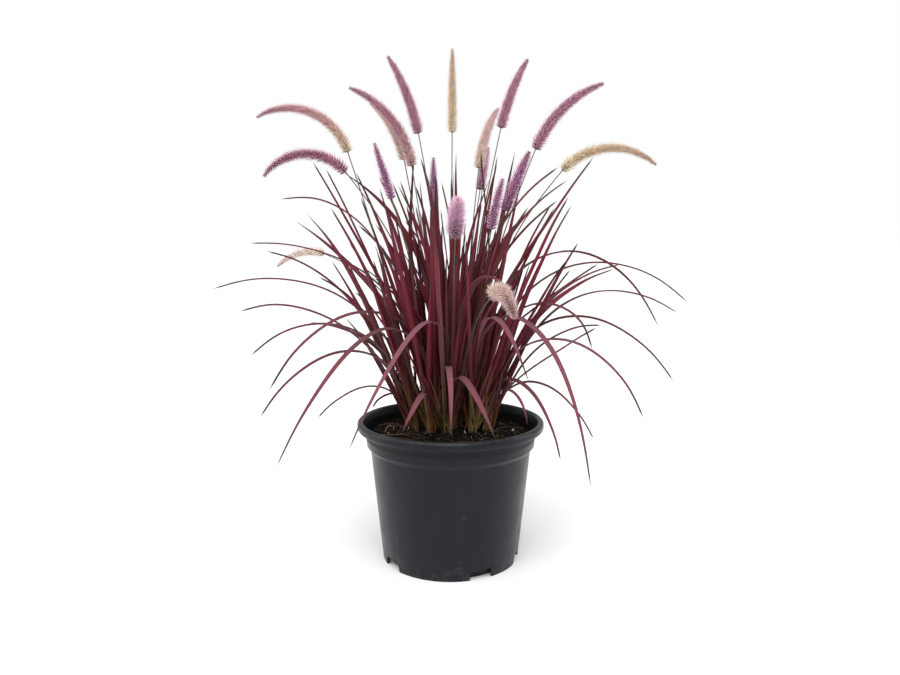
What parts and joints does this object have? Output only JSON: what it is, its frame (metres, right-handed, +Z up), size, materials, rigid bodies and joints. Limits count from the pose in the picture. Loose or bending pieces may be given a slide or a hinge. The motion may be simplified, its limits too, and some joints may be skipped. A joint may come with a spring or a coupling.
{
  "type": "potted ornamental grass",
  "caption": "Clump of burgundy fountain grass with arching bristly flower spikes, growing in a round dark nursery pot of soil.",
  "frame": {"origin": "on the pot's axis, at the flat underside that the pot stands on", "axes": "+Z up along the pot's axis, +X to the right as seen from the front, -Y towards the front"},
  "size_m": [0.6164, 0.5025, 0.6229],
  "materials": {
    "pot_plastic": "satin dark grey nursery-pot plastic",
    "soil_mix": "loose dark potting mix",
    "stem_green": "dry grey-green stalk",
    "spike_mauve": "soft bristly mauve flower spike",
    "shoot_burgundy": "satin burgundy grass blade"
  },
  "bodies": {
    "root": {"pot": "pot_plastic", "soil": "soil_mix", "shoot_01": "shoot_burgundy", "shoot_02": "shoot_burgundy", "shoot_03": "shoot_burgundy", "shoot_04": "shoot_burgundy", "shoot_05": "shoot_burgundy", "shoot_06": "shoot_burgundy", "shoot_07": "shoot_burgundy", "shoot_08": "shoot_burgundy", "shoot_09": "shoot_burgundy", "shoot_10": "shoot_burgundy", "shoot_11": "shoot_burgundy", "shoot_12": "shoot_burgundy", "shoot_13": "shoot_burgundy", "shoot_14": "shoot_burgundy", "shoot_15": "shoot_burgundy", "shoot_16": "shoot_burgundy", "shoot_17": "shoot_burgundy", "shoot_18": "shoot_burgundy", "shoot_19": "shoot_burgundy", "shoot_20": "shoot_burgundy", "shoot_21": "shoot_burgundy", "flower_stem_01": "stem_green", "flower_stem_02": "stem_green", "flower_stem_03": "stem_green", "flower_stem_04": "stem_green", "flower_stem_05": "stem_green", "flower_stem_06": "stem_green", "flower_stem_07": "stem_green", "flower_stem_08": "stem_green", "flower_stem_09": "stem_green", "flower_stem_10": "stem_green", "flower_stem_11": "stem_green", "flower_stem_12": "stem_green", "flower_stem_13": "stem_green", "flower_stem_14": "stem_green", "flower_stem_15": "stem_green", "flower_stem_16": "stem_green", "flower_stem_17": "stem_green", "flower_stem_18": "stem_green", "flower_spike_01": "spike_mauve", "flower_spike_02": "spike_mauve", "flower_spike_03": "spike_mauve", "flower_spike_04": "spike_mauve", "flower_spike_05": "spike_mauve", "flower_spike_06": "spike_mauve", "flower_spike_07": "spike_mauve", "flower_spike_08": "spike_mauve", "flower_spike_09": "spike_mauve", "flower_spike_10": "spike_mauve", "flower_spike_11": "spike_mauve", "flower_spike_12": "spike_mauve", "flower_spike_13": "spike_mauve", "flower_spike_14": "spike_mauve", "flower_spike_15": "spike_mauve", "flower_spike_16": "spike_mauve", "flower_spike_17": "spike_mauve", "flower_spike_18": "spike_mauve"}
  },
  "joints": []
}
